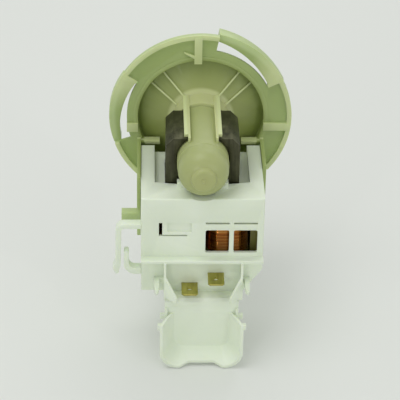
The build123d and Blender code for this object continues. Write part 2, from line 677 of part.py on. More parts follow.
def wire_clip():
    """Two hooks at the left of the box that close round the wires: a long strip and a catch below it."""
    wall = -BOX_HALF
    strip_out = -BOX_HALF - HOOK_REACH
    strip_in = strip_out + HOOK_STRIP
    bar_bottom = HOOK_TOP - HOOK_BAR
    strip = make_face(Polyline([
        (wall, HOOK_TOP), (strip_out, HOOK_TOP), (strip_out - 0.1, HOOK_NOSE + 5.2),
        (strip_out - 1.2, HOOK_NOSE + 2.8),
        (strip_out - 0.2, HOOK_NOSE), (strip_out + 1.0, HOOK_NOSE + 0.4), (strip_in - 0.3, HOOK_NOSE + 4.2),
        (strip_in, bar_bottom), (wall, bar_bottom)], close=True))
    strip = fillet(strip.vertices().sort_by_distance((strip_out, HOOK_TOP))[0], HOOK_CORNER)
    strip = fillet(strip.vertices().sort_by_distance((strip_in, bar_bottom))[0], HOOK_CORNER - HOOK_BAR)
    catch_out = -BOX_HALF - CATCH_REACH
    catch_in = catch_out + CATCH_WALL
    catch = make_face(Polyline([
        (wall, CATCH_BOTTOM), (catch_out, CATCH_BOTTOM), (catch_out, CATCH_TOP), (catch_in, CATCH_TOP),
        (catch_in, CATCH_FLOOR), (wall, CATCH_FLOOR)], close=True))
    catch = fillet(catch.vertices().sort_by_distance((catch_out, CATCH_BOTTOM))[0], CATCH_CORNER)
    catch = fillet(catch.vertices().sort_by_distance((catch_in, CATCH_FLOOR))[0], CATCH_CORNER - CATCH_WALL)
    catch = fillet(catch.vertices().sort_by(Axis.Y)[-2:], CATCH_WALL * 0.45)
    hooks = [prism_y(outline, BOX_FRONT, BOX_FRONT + HOOK_THICK) for outline in (strip, catch)]
    return Compound(children=[hook.solid() for hook in hooks])


def cradles():
    """Two small stops on the box that the can rests between."""
    ring = about_y(0, CAN_R + 0.2, BOX_FRONT, CORE_FRONT)
    x0, x1, y0, y1 = CRADLE
    return [block(side * x0, side * x1, y0, y1, BOX_TOP - 0.5, CRADLE_TOP) - ring for side in (-1, 1)]


def tab_boss():
    """The thick wall inside the box that the tabs are pressed into."""
    left, low = TAB_LEFT
    right, high = TAB_RIGHT
    return block(left - TAB_WIDTH, right + 0.8 * TAB_WIDTH, BOX_FRONT + 0.5, BOX_FRONT + TAB_TAIL - 0.6,
                 low - 1.8, high + 1.3)


def coil_housing():
    body = housing_shell() - pocket()
    for hole in leg_holes():
        body -= hole
    body -= about_y(0, CAN_R + SCOOP_GAP, BOX_FRONT - CLEAR, POCKET_FRONT + 3)
    for piece in cradles() + [tab_boss()]:
        body += piece
    for cut in front_openings() + tab_slots():
        body -= cut
    return body


def bottom_cover():
    gap = 0.1
    plate = prism_y(housing_outline(BOX_WALL + gap), BOX_FRONT + BOX_WALL + gap, BOX_REAR - BOX_WALL - gap)
    plate &= block(-CLEAR, CLEAR, -CLEAR, CLEAR, BOX_BOTTOM, BOX_BOTTOM + BOX_WALL)
    for side in (-1, 1):
        plate += block(side * COVER_RIB_X, side * (COVER_RIB_X + BOX_WALL), CORE_FRONT + 2, CORE_REAR - 2,
                       BOX_BOTTOM, YOKE_TOP - YOKE_HEIGHT)
    return plate


# Terminal cover, drawn open and hanging
def tray_body(inset, y0, y1, top, bottom, depth):
    """The splayed form of the tray between two depths, drawn in by inset."""
    faces = []
    for y in (y0, y1):
        draw_in = TRAY_SPLAY * (y - HINGE_Y + TRAY_DEPTH) / depth + inset
        half = COVER_HALF - draw_in
        low = bottom + draw_in
        outline = Pos(0, (low + top) / 2) * Rectangle(2 * half, top - low)
        corner = TRAY_CORNER - draw_in * 0.6
        faces.append(Plane.XZ.offset(-y) * fillet(outline.vertices().group_by(Axis.Y)[0], corner))
    return loft(faces)


def terminal_cover():
    top = HINGE_Z - HINGE_GAP * 0.8
    neck_end = HINGE_Z - COVER_NECK
    end = HINGE_Z - COVER_LENGTH
    back = HINGE_Y + COVER_SKIN / 2
    floor = back - COVER_SKIN
    rim = HINGE_Y - TRAY_DEPTH
    depth = back - rim
    tray = tray_body(0, rim, back, neck_end, end, depth)
    tray = fillet(tray.faces().sort_by(Axis.Y)[-1].edges().filter_by(Axis.X), 1.2)
    tray -= tray_body(TRAY_WALL, rim - 1, floor, neck_end + 1, end, depth)
    wide = NOTCH_HALF + NOTCH_SLOPE
    notch = make_face(Polyline([(-NOTCH_HALF, 0), (-wide, -NOTCH_DEPTH), (-wide, -TRAY_DEPTH),
                                (wide, -TRAY_DEPTH), (wide, -NOTCH_DEPTH), (NOTCH_HALF, 0)], close=True))
    notch = fillet(notch.vertices().group_by(Axis.Y)[-1], NOTCH_ROUND)
    tray -= Pos(0, rim + NOTCH_DEPTH, end - 1) * extrude(notch, amount=COVER_LENGTH / 2)
    ramp = make_face(Plane.YZ * Polyline([
        (rim - 1, neck_end + 1), (floor - 1.4, neck_end + 1), (rim - 1, neck_end - 1.6)], close=True))
    tray -= extrude(ramp, amount=CLEAR, dir=(1, 0, 0), both=True)
    cover = tray + block(-NECK_HALF, NECK_HALF, floor, back, neck_end - 3, top)
    cover += block(-SHOULDER_HALF, SHOULDER_HALF, floor, back, neck_end - SHOULDER,
                   neck_end - SHOULDER_DROP)
    bump_z = HINGE_Z - BUMP_POS
    bump_front = rim + 0.2
    for side in (-1, 1):
        cover += block(side * (NECK_HALF - TRAY_WALL), side * NECK_HALF, floor - NECK_RIB, back, neck_end - 2,
                       HINGE_Z - NECK_RIB_POS)
        cover += block(side * (COVER_HALF - 1.3), side * (COVER_HALF + BUMP_OUT), bump_front,
                       bump_front + BUMP_SIZE, bump_z - BUMP_SIZE / 2, bump_z + BUMP_SIZE / 2)
    return cover


# Rotor and its bearings
MAGNET_FRONT = MAGNET_REAR + MAGNET_LENGTH
SLEEVE_REAR = MAGNET_REAR - 2 * SLEEVE_DISC
REAR_BUSH_Y = REAR_POCKET_END + 1.2
FRONT_BUSH_END = FRONT_BUSH_REAR + BUSH_LENGTH
LIP_SEAL_Y = FRONT_BUSH_END + 0.8
RING_Y = HUB_FACE - RING_CORD
RING_SQUEEZED = RING_CORD * 0.8
CUSHION_R = BUSH_R + CUSHION_WALL


def rotor_magnet():
    ring = about_y(CORE_SLEEVE_R, MAGNET_R, MAGNET_REAR, MAGNET_REAR + MAGNET_LENGTH)
    rims = [e for e in ring.edges().filter_by(GeomType.CIRCLE) if e.radius > MAGNET_R - 0.1]
    return chamfer(rims, 0.5)


def rotor_core():
    """The sleeve between magnet and shaft, with the disc that the magnet stands on at its rear."""
    disc_r = MAGNET_R - 1.5
    disc_rear = MAGNET_REAR - SLEEVE_DISC
    return revolve_y([
        (SHAFT_R, SLEEVE_REAR), (CORE_SLEEVE_R, SLEEVE_REAR), (CORE_SLEEVE_R, disc_rear),
        (disc_r, disc_rear), (disc_r, MAGNET_REAR), (CORE_SLEEVE_R, MAGNET_REAR),
        (CORE_SLEEVE_R, MAGNET_FRONT), (SHAFT_R, MAGNET_FRONT)])


def rotor_shaft():
    shaft = about_y(0, SHAFT_R, SHAFT_REAR, SHAFT_FRONT)
    return chamfer(shaft.edges().filter_by(GeomType.CIRCLE), 0.3)


def bush(y0):
    return about_y(SHAFT_R + RUNNING, BUSH_R, y0, y0 + BUSH_LENGTH)


def thrust_washer(y0):
    return about_y(SHAFT_R + RUNNING, WASHER_R, y0, y0 + WASHER_THICK)


def bearing_carrier():
    """The plug in the mouth of the rotor can, with a seat for the front bush and a cup for the lip seal."""
    seal_end = LIP_SEAL_Y + LIP_SEAL_LENGTH
    plug_r = CAN_IN - RUNNING
    plug_rear = WET_FACE - CARRIER_PLUG
    head_end = WET_FACE + CARRIER_HEAD
    cup_r = LIP_SEAL_R + 1.3
    bore_r = SHAFT_R + 0.4
    half_groove = RING_CORD / 2 + 0.1
    body = revolve_y([
        (CUSHION_R, plug_rear), (plug_r, plug_rear), (plug_r, WET_FACE), (CARRIER_HEAD_R, WET_FACE),
        (CARRIER_HEAD_R, head_end), (cup_r, head_end), (cup_r, seal_end), (LIP_SEAL_R, seal_end),
        (LIP_SEAL_R, LIP_SEAL_Y), (bore_r, LIP_SEAL_Y), (bore_r, FRONT_BUSH_END),
        (CUSHION_R, FRONT_BUSH_END)])
    return body - about_y(CAN_IN - RING_SQUEEZED, CAN_IN + 1, RING_Y - half_groove, RING_Y + half_groove)


def carrier_seal():
    section = chamfer(Rectangle(RING_SQUEEZED, RING_CORD).vertices(), RING_CORD * 0.25)
    return revolve(Pos(CAN_IN - RING_SQUEEZED / 2, RING_Y) * section, axis=Axis.Y)


def lip_seal():
    lip_r = SHAFT_R + RUNNING
    front = LIP_SEAL_Y + LIP_SEAL_LENGTH
    return revolve_y([(lip_r, LIP_SEAL_Y + 1.6), (lip_r, LIP_SEAL_Y + 2.2), (3.0, LIP_SEAL_Y + 1.2),
                      (4.0, front), (LIP_SEAL_R, front), (LIP_SEAL_R, LIP_SEAL_Y), (2.6, LIP_SEAL_Y)])


# Impeller with its lost-motion drive
CHAMBER_R = HUB_R - HUB_WALL
CHAMBER_END = HUB_REAR + HUB_LENGTH - HUB_WALL


def drive_dog():
    y0 = HUB_REAR + HUB_LID + 0.3
    y1 = CHAMBER_END - 0.3
    arm = sector(DOG_R - 0.5, DOG_REACH, -DOG_ANGLE / 2, DOG_ANGLE, y0 + 0.5, y1 - 0.5)
    return about_y(SHAFT_R, DOG_R, y0, y1) + arm


def stop_start():
    return DOG_ANGLE / 2 + DOG_PLAY_GAP + BUFFER_ANGLE


def impeller():
    body = about_y(0, HUB_R, HUB_REAR, HUB_REAR + HUB_LENGTH)
    body -= about_y(0, CHAMBER_R, HUB_REAR - 1, CHAMBER_END)
    body -= about_y(0, SHAFT_R + RUNNING, HUB_REAR, HUB_REAR + HUB_LENGTH + 1)
    body += sector(DOG_R + 0.3, CHAMBER_R + 0.3, stop_start(), STOP_ANGLE, HUB_REAR + HUB_LID,
                   CHAMBER_END + 0.2)
    root = HUB_REAR + HUB_LENGTH - VANE_LENGTH
    outline = make_face(Polyline([(HUB_R - 0.5, root), (VANE_R - 1.5, root), (VANE_R, root + 1.5),
                                  (VANE_R, root + VANE_LENGTH - 2.0), (VANE_R - 3.0, root + VANE_LENGTH),
                                  (HUB_R - 0.5, root + VANE_LENGTH)], close=True))
    vane = Pos(0, 0, -VANE_THICK / 2) * extrude(outline, amount=VANE_THICK)
    for i in range(VANES):
        body += clock(360 / VANES * i) * vane
    return body


def hub_lid():
    return about_y(SHAFT_R + RUNNING * 2, CHAMBER_R, HUB_REAR, HUB_REAR + HUB_LID)


def stop_buffers():
    """Two rubber pads, one each side of the stop."""
    y0 = HUB_REAR + HUB_LID + 0.5
    y1 = CHAMBER_END - 0.5
    first = sector(DOG_R + 0.5, CHAMBER_R, stop_start() - BUFFER_ANGLE, BUFFER_ANGLE, y0, y1)
    second = sector(DOG_R + 0.5, CHAMBER_R, stop_start() + STOP_ANGLE, BUFFER_ANGLE, y0, y1)
    return Compound(children=[first.solid(), second.solid()])


def shaft_clip():
    y0 = HUB_REAR + HUB_LENGTH + 0.3
    ring = about_y(SHAFT_R, CLIP_R, y0, y0 + CLIP_THICK)
    for i in range(3):
        ring -= clock(60 + 120 * i) * block(-0.5, 0.5, y0 - 1, y0 + 2, SHAFT_R + 0.5, CLIP_R - 0.5)
    return ring


PIECES = {
    "bayonet_flange": bayonet_flange,
    "flange_seal": flange_seal,
    "stator_core": stator_core,
    "bobbin_left": lambda: bobbin(-1),
    "bobbin_right": lambda: bobbin(1),
    "coil_left": lambda: coil(-1),
    "coil_right": lambda: coil(1),
    "coil_housing": coil_housing,
    "terminal_shroud": terminal_shroud,
    "wire_clip": wire_clip,
    "bottom_cover": bottom_cover,
    "terminal_left": lambda: terminal(TAB_LEFT),
    "terminal_right": lambda: terminal(TAB_RIGHT),
    "terminal_cover": terminal_cover,
    "rear_bush": lambda: bush(REAR_BUSH_Y),
    "rear_cushion": lambda: about_y(BUSH_R, REAR_POCKET_R, REAR_BUSH_Y, REAR_BUSH_Y + BUSH_LENGTH),
    "front_bush": lambda: bush(FRONT_BUSH_REAR),
    "front_cushion": lambda: about_y(BUSH_R, CUSHION_R, FRONT_BUSH_REAR, FRONT_BUSH_END),
    "bearing_carrier": bearing_carrier,
    "carrier_seal": carrier_seal,
    "lip_seal": lip_seal,
    "rotor_magnet": rotor_magnet,
    "rotor_core": rotor_core,
    "rotor_shaft": rotor_shaft,
    "rear_washer": lambda: thrust_washer(SLEEVE_REAR - WASHER_THICK),
    "front_washer": lambda: thrust_washer(MAGNET_FRONT),
    "drive_dog": drive_dog,
    "impeller": impeller,
    "hub_lid": hub_lid,
    "stop_buffers": stop_buffers,
    "shaft_clip": shaft_clip,
}

os.makedirs("parts", exist_ok=True)
for name, make in PIECES.items():
    piece = make()
    piece.label = name
    export_step(piece, f"parts/{name}.step")
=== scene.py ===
# %% [markdown]
# # A drain pump, dressed for its portrait
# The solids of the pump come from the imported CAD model, in metres, and nothing here changes their size.
# The lesson adds what a solid cannot show: the softened edges of moulded plastic, the wire on the coils,
# the thin film of the cover's hinge, and a finish for each material. The camera looks down on the motor side,
# and every step says what the real piece is and why it is made this way.

# %% Load the frame and the tools
import json
import math
import bpy
from mathutils import Matrix, Vector

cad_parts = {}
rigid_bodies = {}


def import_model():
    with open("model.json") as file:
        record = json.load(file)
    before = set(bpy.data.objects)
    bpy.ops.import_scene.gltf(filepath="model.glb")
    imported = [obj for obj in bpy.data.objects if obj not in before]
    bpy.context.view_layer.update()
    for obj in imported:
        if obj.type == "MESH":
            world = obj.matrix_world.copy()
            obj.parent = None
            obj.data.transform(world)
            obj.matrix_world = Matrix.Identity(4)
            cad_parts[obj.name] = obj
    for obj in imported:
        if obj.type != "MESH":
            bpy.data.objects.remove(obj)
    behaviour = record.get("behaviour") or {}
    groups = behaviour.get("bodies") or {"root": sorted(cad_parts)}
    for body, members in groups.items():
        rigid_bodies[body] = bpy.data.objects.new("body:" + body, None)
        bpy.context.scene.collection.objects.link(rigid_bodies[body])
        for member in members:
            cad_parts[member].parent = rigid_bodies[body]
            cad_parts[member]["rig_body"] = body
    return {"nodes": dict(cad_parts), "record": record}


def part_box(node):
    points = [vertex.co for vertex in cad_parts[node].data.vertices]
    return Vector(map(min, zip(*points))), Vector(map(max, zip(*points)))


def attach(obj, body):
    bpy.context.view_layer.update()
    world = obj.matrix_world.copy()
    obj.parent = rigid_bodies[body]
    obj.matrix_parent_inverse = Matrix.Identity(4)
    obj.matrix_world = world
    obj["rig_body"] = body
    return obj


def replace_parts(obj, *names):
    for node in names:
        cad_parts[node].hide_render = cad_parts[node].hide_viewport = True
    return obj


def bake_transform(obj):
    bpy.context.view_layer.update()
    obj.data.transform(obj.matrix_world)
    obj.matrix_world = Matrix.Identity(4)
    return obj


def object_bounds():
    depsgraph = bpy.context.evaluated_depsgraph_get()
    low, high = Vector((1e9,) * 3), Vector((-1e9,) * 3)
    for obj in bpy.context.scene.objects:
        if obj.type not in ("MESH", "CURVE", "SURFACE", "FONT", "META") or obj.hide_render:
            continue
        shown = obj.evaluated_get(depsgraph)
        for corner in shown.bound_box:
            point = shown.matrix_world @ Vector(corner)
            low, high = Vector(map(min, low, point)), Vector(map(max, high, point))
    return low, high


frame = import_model()
cad_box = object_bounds()
MM = 0.001
scene = bpy.context.scene
scene.view_settings.view_transform = "Standard"


# %% [markdown]
# ## The camera
# A long lens flattens the pump: the two arms beside the tabs stay almost parallel. The height of 31 degrees
# was read from the round flange, whose width and height give the tilt, and the distance from the tabs.
# The matrix is built from the three directions of the camera, because that keeps its small roll exact.

# %% Camera
ELEVATION = math.radians(31.1)
AZIMUTH = math.radians(-1.96)
ROLL = math.radians(-1.13)
DISTANCE = 714.5 * MM
FOCAL_PIXELS = 1800
FRAME_PIXELS = 400
# The pixel at which the frame's origin is seen
ORIGIN_PIXEL = (200.7, 116.2)
SENSOR_WIDTH = 36

backward = Vector((
    math.sin(AZIMUTH) * math.cos(ELEVATION),
    -math.cos(AZIMUTH) * math.cos(ELEVATION),
    math.sin(ELEVATION)))
level_right = Vector((math.cos(AZIMUTH), math.sin(AZIMUTH), 0))
level_up = backward.cross(level_right)
right = math.cos(ROLL) * level_right - math.sin(ROLL) * level_up
up = math.sin(ROLL) * level_right + math.cos(ROLL) * level_up
across = (ORIGIN_PIXEL[0] - FRAME_PIXELS / 2) / FOCAL_PIXELS * DISTANCE
down = (ORIGIN_PIXEL[1] - FRAME_PIXELS / 2) / FOCAL_PIXELS * DISTANCE
place = backward * DISTANCE - right * across + up * down

camera = bpy.data.objects.new("camera", bpy.data.cameras.new("camera"))
scene.collection.objects.link(camera)
camera.data.sensor_width = SENSOR_WIDTH
camera.data.lens = FOCAL_PIXELS / FRAME_PIXELS * SENSOR_WIDTH
camera.matrix_world = Matrix((
    (right.x, up.x, backward.x, place.x),
    (right.y, up.y, backward.y, place.y),
    (right.z, up.z, backward.z, place.z),
    (0, 0, 0, 1)))
scene.camera = camera
print("lens", camera.data.lens, "mm, camera at", [round(v, 3) for v in place])


# %% [markdown]
# ## Small helpers for modelling by operator
# An operator acts on whatever is selected, and the frame arrives selected. Each step therefore takes hold of
# one object first, and picks faces in code by where they are or which way they look.

# %% Helpers
MERGE_DISTANCE = 0.002 * MM


def release_all():
    """Deselect every object."""
    bpy.ops.object.select_all(action="DESELECT")


def take(piece):
    """Select one object alone and make it active."""
    release_all()
    piece.select_set(True)
    bpy.context.view_layer.objects.active = piece


def edit(piece, chosen=None):
    """Enter edit mode with the chosen faces selected, or all of them."""
    take(piece)
    bpy.ops.object.mode_set(mode="EDIT")
    bpy.ops.mesh.select_mode(type="FACE")
    bpy.ops.mesh.select_all(action="SELECT" if chosen is None else "DESELECT")
    if chosen is not None:
        bpy.ops.object.mode_set(mode="OBJECT")
        for face in piece.data.polygons:
            face.select = chosen(face)
        bpy.ops.object.mode_set(mode="EDIT")


def leave():
    """Go back from edit mode to object mode."""
    bpy.ops.object.mode_set(mode="OBJECT")


def settle(piece):
    """Put the place, the turn and the size of a piece into its mesh."""
    take(piece)
    bpy.ops.object.transform_apply(location=True, rotation=True, scale=True)


def finish_piece(piece, name, material, body, smooth=35, heal=True):
    """Settle a new piece, turn its faces outwards, smooth the shading and hand it to its body."""
    piece.name = name
    settle(piece)
    if heal:
        edit(piece)
        bpy.ops.mesh.remove_doubles(threshold=MERGE_DISTANCE)
        bpy.ops.mesh.normals_make_consistent(inside=False)
        leave()
    bpy.ops.object.shade_smooth_by_angle(angle=math.radians(smooth))
    piece.data.materials.clear()
    piece.data.materials.append(material)
    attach(piece, body)
    print(name, len(piece.data.polygons), "faces")
    return piece


def body_of(node):
    """The body that a solid of the frame rides on."""
    return frame["nodes"][node]["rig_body"]


# %% [markdown]
# ## Finishes
# Every finish starts from one shader and gets its life from noise in object space, which stays with the piece
# when it turns. The builder has a small function for each thing a finish needs, first a noise and a ramp that
# turns the noise into tones. A noise scale says roughly how many blots fit in a metre, so 60 gives soft
# clouds and 5200 gives a fine grain.

# %% Noise and ramps
def new_finish(name):
    """A material with its tree, its shader and the coordinates that its patterns read."""
    material = bpy.data.materials.new(name)
    material.use_nodes = True
    tree = material.node_tree
    shader = tree.nodes["Principled BSDF"]
    coords = tree.nodes.new("ShaderNodeTexCoord")
    return material, tree, shader, coords


def linear(r, g, b):
    """A screen colour from 0 to 255, as the linear light that a shader wants."""
    return tuple((c / 255 / 12.92) if c <= 10 else ((c / 255 + 0.055) / 1.055) ** 2.4 for c in (r, g, b))


def grey(value):
    """One number as a colour, for a ramp that drives a gloss or a mask."""
    return (value, value, value)


def add_noise(tree, coords, scale, detail=4, stretch=(1, 1, 1)):
    """Noise in object space. A number below 1 draws it out along that axis, a larger one squeezes it."""
    mapping = tree.nodes.new("ShaderNodeMapping")
    mapping.inputs["Scale"].default_value = stretch
    noise = tree.nodes.new("ShaderNodeTexNoise")
    noise.inputs["Scale"].default_value = scale
    noise.inputs["Detail"].default_value = detail
    tree.links.new(coords.outputs["Object"], mapping.inputs["Vector"])
    tree.links.new(mapping.outputs["Vector"], noise.inputs["Vector"])
    return noise


def add_ramp(tree, source, stops):
    """A colour ramp over (position, linear colour) stops, from the lowest position to the highest."""
    ramp = tree.nodes.new("ShaderNodeValToRGB")
    elements = ramp.color_ramp.elements
    for element, (position, colour) in zip(elements, (stops[0], stops[-1])):
        element.position = position
        element.color = (*colour, 1)
    for position, colour in stops[1:-1]:
        element = elements.new(position)
        element.color = (*colour, 1)
    tree.links.new(source, ramp.inputs["Fac"])
    return ramp


# %% [markdown]
# ## Gloss, relief and layers
# An even gloss makes any piece look new and computed, so the roughness drifts with a noise too. A bump bends
# the light without moving the surface, which is right for relief finer than the mesh. Two ways to layer tones
# are needed: one tone darkening another, and one tone laid over another through a mask.

# %% Gloss, relief and layers
def add_gloss(tree, shader, source, edges, rough):
    """Roughness that drifts between two values where the source goes from one edge to the other."""
    gloss = add_ramp(tree, source, [(edges[0], grey(rough[0])), (edges[1], grey(rough[1]))])
    tree.links.new(gloss.outputs["Color"], shader.inputs["Roughness"])


def add_bump(tree, shader, source, strength, depth_mm, under=None):
    """Relief from a source, on top of another bump where one is given."""
    bump = tree.nodes.new("ShaderNodeBump")
    bump.inputs["Strength"].default_value = strength
    bump.inputs["Distance"].default_value = depth_mm * MM
    tree.links.new(source, bump.inputs["Height"])
    if under is not None:
        tree.links.new(under.outputs["Normal"], bump.inputs["Normal"])
    tree.links.new(bump.outputs["Normal"], shader.inputs["Normal"])
    return bump


def multiplied(tree, first, second, amount=1.0):
    """Two colours multiplied, for a pattern that darkens the tone under it."""
    blend = tree.nodes.new("ShaderNodeMix")
    blend.data_type = "RGBA"
    blend.blend_type = "MULTIPLY"
    blend.inputs["Factor"].default_value = amount
    tree.links.new(first, blend.inputs[6])
    tree.links.new(second, blend.inputs[7])
    return blend.outputs[2]


def tone_over(tree, under, mask, colour):
    """Lay a tone over another where the mask is bright."""
    blend = tree.nodes.new("ShaderNodeMix")
    blend.data_type = "RGBA"
    tree.links.new(mask, blend.inputs["Factor"])
    tree.links.new(under, blend.inputs[6])
    blend.inputs[7].default_value = (*linear(*colour), 1)
    return blend.outputs[2]


# %% [markdown]
# ## Painted light and shade on the flange
# The flange is moulded in natural plastic, which lets light in. It looks darker deep in the dish, and pale
# where it stands proud, and both are painted into its colour: painted shade in the dish, painted light on the
# rim, the posts and the ribs. Painting a picture on it would be one way. Here the painted tones follow the
# shape itself: one set of tones by the distance from the rotor's axis, and two masks of painted light, one
# for the rim and the posts and one for the thin ribs, which are found by how far forward they stand.

# %% Painted light and shade by place
# Measures of the flange, in mm: the dish is a cone from the collar round the can down to its floor
COLLAR_RADIUS = 11.3
DISH_RADIUS = 24.9
HUB_FACE = -2.0
DISH_FLOOR = 4.0
# Brightness of the painted light on the rim and the posts, by the place along Y in mm, over a span that ends
# at the origin
RIM_SPAN = 4
RIM_PAINTED_LIGHT_LEVELS = ((-2.8, 0), (-2.0, 0.8), (-1.36, 0.8), (-0.64, 0))
# The painted light on the ribs goes from none to full between these heights in mm above the cone
RIB_FADE = (0.15, 0.55)
RIB_PAINTED_LIGHT = 0.9
# Where each mask counts, by the distance from the axis in mm
BLACK = (0, 0, 0)
WHITE = (255, 255, 255)
OUTSIDE_DISH = [(0, BLACK), (23.6, BLACK), (24.6, WHITE), (40, WHITE)]
INSIDE_DISH = [(0, BLACK), (11.8, BLACK), (12.2, WHITE), (24.2, WHITE), (24.7, BLACK), (40, BLACK)]


def radial_tones(tree, coords, stops):
    """Tones by the distance from the rotor's axis: (distance in mm, colour) from the axis outwards."""
    reach = stops[-1][0]
    mapping = tree.nodes.new("ShaderNodeMapping")
    mapping.inputs["Scale"].default_value = (1 / (reach * MM), 0, 1 / (reach * MM))
    ball = tree.nodes.new("ShaderNodeTexGradient")
    ball.gradient_type = "SPHERICAL"
    tree.links.new(coords.outputs["Object"], mapping.inputs["Vector"])
    tree.links.new(mapping.outputs["Vector"], ball.inputs["Vector"])
    places = [(1 - distance / reach, linear(*colour)) for distance, colour in reversed(stops)]
    return add_ramp(tree, ball.outputs["Fac"], places)


def add_span(tree, source, low_mm, high_mm):
    """A length as a number from 0 to 1 between two measures."""
    span = tree.nodes.new("ShaderNodeMapRange")
    span.inputs["From Min"].default_value = low_mm * MM
    span.inputs["From Max"].default_value = high_mm * MM
    tree.links.new(source, span.inputs["Value"])
    return span


def rim_painted_light_mask(tree, coords):
    """Painted light outside the dish where the flange stands up in front of its plate: the rim and the posts.
    """
    split = tree.nodes.new("ShaderNodeSeparateXYZ")
    tree.links.new(coords.outputs["Object"], split.inputs["Vector"])
    span = add_span(tree, split.outputs["Y"], -RIM_SPAN, 0)
    stops = [(1 + y / RIM_SPAN, grey(value)) for y, value in RIM_PAINTED_LIGHT_LEVELS]
    level = add_ramp(tree, span.outputs["Result"], stops)
    outside = radial_tones(tree, coords, OUTSIDE_DISH)
    return multiplied(tree, level.outputs["Color"], outside.outputs["Color"])


def rib_painted_light_mask(tree, coords):
    """Painted light on the thin ribs of the dish, which stand 0.8 mm above its cone."""
    slope = (DISH_FLOOR - HUB_FACE) / (DISH_RADIUS - COLLAR_RADIUS)
    at_the_axis = HUB_FACE - COLLAR_RADIUS * slope
    flat = tree.nodes.new("ShaderNodeMapping")
    flat.inputs["Scale"].default_value = (1, 0, 1)
    tree.links.new(coords.outputs["Object"], flat.inputs["Vector"])
    radius = tree.nodes.new("ShaderNodeVectorMath")
    radius.operation = "LENGTH"
    tree.links.new(flat.outputs["Vector"], radius.inputs[0])
    cone = tree.nodes.new("ShaderNodeMath")
    cone.operation = "MULTIPLY_ADD"
    cone.inputs[1].default_value = slope
    cone.inputs[2].default_value = at_the_axis * MM
    tree.links.new(radius.outputs["Value"], cone.inputs[0])
    split = tree.nodes.new("ShaderNodeSeparateXYZ")
    tree.links.new(coords.outputs["Object"], split.inputs["Vector"])
    above = tree.nodes.new("ShaderNodeMath")
    above.operation = "SUBTRACT"
    tree.links.new(cone.outputs["Value"], above.inputs[0])
    tree.links.new(split.outputs["Y"], above.inputs[1])
    span = add_span(tree, above.outputs["Value"], *RIB_FADE)
    level = add_ramp(tree, span.outputs["Result"], [(0, grey(0)), (1, grey(RIB_PAINTED_LIGHT))])
    inside = radial_tones(tree, coords, INSIDE_DISH)
    return multiplied(tree, level.outputs["Color"], inside.outputs["Color"])


# %% [markdown]
# ## Plastics and rubber
# Moulded plastic varies a little in tone, has a fine spark-eroded grain over a faint flow relief, and its
# gloss is uneven where it has been handled. The white and the natural plastic let light in, which a share of
# subsurface scattering gives. Only the natural plastic takes the painted light and shade that follow the
# flange. The rotor can belongs to the same moulding, so the tones start on the axis with the can's own green.

# %% Moulded plastic
# Green light travels farthest in these plastics, and blue light least
LIGHT_REACH = (0.9, 1.0, 0.35)
# Noise scales, and how strong and how deep in mm the reliefs are
CLOUDS = 60
FLOW = 130
HANDLED = 220
GRAIN = 5200
FLOW_STRENGTH = 0.15
FLOW_DEPTH = 0.08
GRAIN_DEPTH = 0.03


def moulded(name, light, dark, rough, grain=0.10, through=0.0, through_mm=1.0, rings_and_painted_shade=None, painted_light_tone=None):
    """Moulded plastic: two near tones, a fine grain, uneven gloss and some light passing through."""
    material, tree, shader, coords = new_finish(name)
    cloudy = add_noise(tree, coords, CLOUDS)
    tones = add_ramp(tree, cloudy.outputs["Fac"], [(0.30, linear(*dark)), (0.70, linear(*light))])
    colour = tones.outputs["Color"]
    # Painted shade and light: the rings darken the dish deep in the flange and brighten its rim
    if rings_and_painted_shade is not None:
        colour = multiplied(tree, radial_tones(tree, coords, rings_and_painted_shade).outputs["Color"], colour)
    # Painted light: a paler tone laid on the rim, the posts and the ribs, which stand proud
    if painted_light_tone is not None:
        colour = tone_over(tree, colour, rim_painted_light_mask(tree, coords), painted_light_tone)
        colour = tone_over(tree, colour, rib_painted_light_mask(tree, coords), painted_light_tone)
    tree.links.new(colour, shader.inputs["Base Color"])
    handled = add_noise(tree, coords, HANDLED, detail=6)
    add_gloss(tree, shader, handled.outputs["Fac"], (0.35, 0.65), rough)
    fine = add_noise(tree, coords, GRAIN, detail=2)
    flow = add_noise(tree, coords, FLOW, detail=2)
    lower = add_bump(tree, shader, flow.outputs["Fac"], FLOW_STRENGTH, FLOW_DEPTH)
    add_bump(tree, shader, fine.outputs["Fac"], grain, GRAIN_DEPTH, under=lower)
    if through > 0:
        shader.inputs["Subsurface Weight"].default_value = through
        shader.inputs["Subsurface Radius"].default_value = LIGHT_REACH
        shader.inputs["Subsurface Scale"].default_value = through_mm * MM
    return material


# From the axis outwards in mm: the can, the collar round its foot, the dish, the plate and the rim. Painted
# shade darkens the dish, painted light brightens the rim, and part of the green in the outer rings is a
# painted reflection of green surroundings.
FLANGE_TONES_AND_PAINTED_SHADE = [
    (0, (178, 182, 122)), (9.8, (170, 178, 120)),
    (11.2, (200, 204, 150)), (12.6, (196, 202, 146)),
    (13.6, (158, 167, 100)), (24, (138, 152, 78)),
    (26.4, (162, 178, 112)), (33.4, (166, 184, 118)),
    (34.6, (186, 202, 144)), (37, (190, 206, 148))]
white_plastic = moulded("white_plastic", (232, 240, 222), (226, 235, 214), (0.38, 0.52), through=0.12)
natural_plastic = moulded(
    "natural_plastic", (255, 255, 255), (244, 246, 240), (0.33, 0.42),
    through=0.2, through_mm=1.5, rings_and_painted_shade=FLANGE_TONES_AND_PAINTED_SHADE, painted_light_tone=(206, 215, 160))
bobbin_plastic = moulded("bobbin_plastic", (122, 120, 58), (112, 110, 52), (0.45, 0.6))
dark_plastic = moulded("dark_plastic", (46, 46, 47), (36, 36, 37), (0.4, 0.55))
rotor_plastic = moulded("rotor_plastic", (30, 30, 31), (24, 24, 25), (0.45, 0.6))
seal_rubber = moulded("seal_rubber", (24, 24, 24), (17, 17, 17), (0.6, 0.8), grain=0.2)
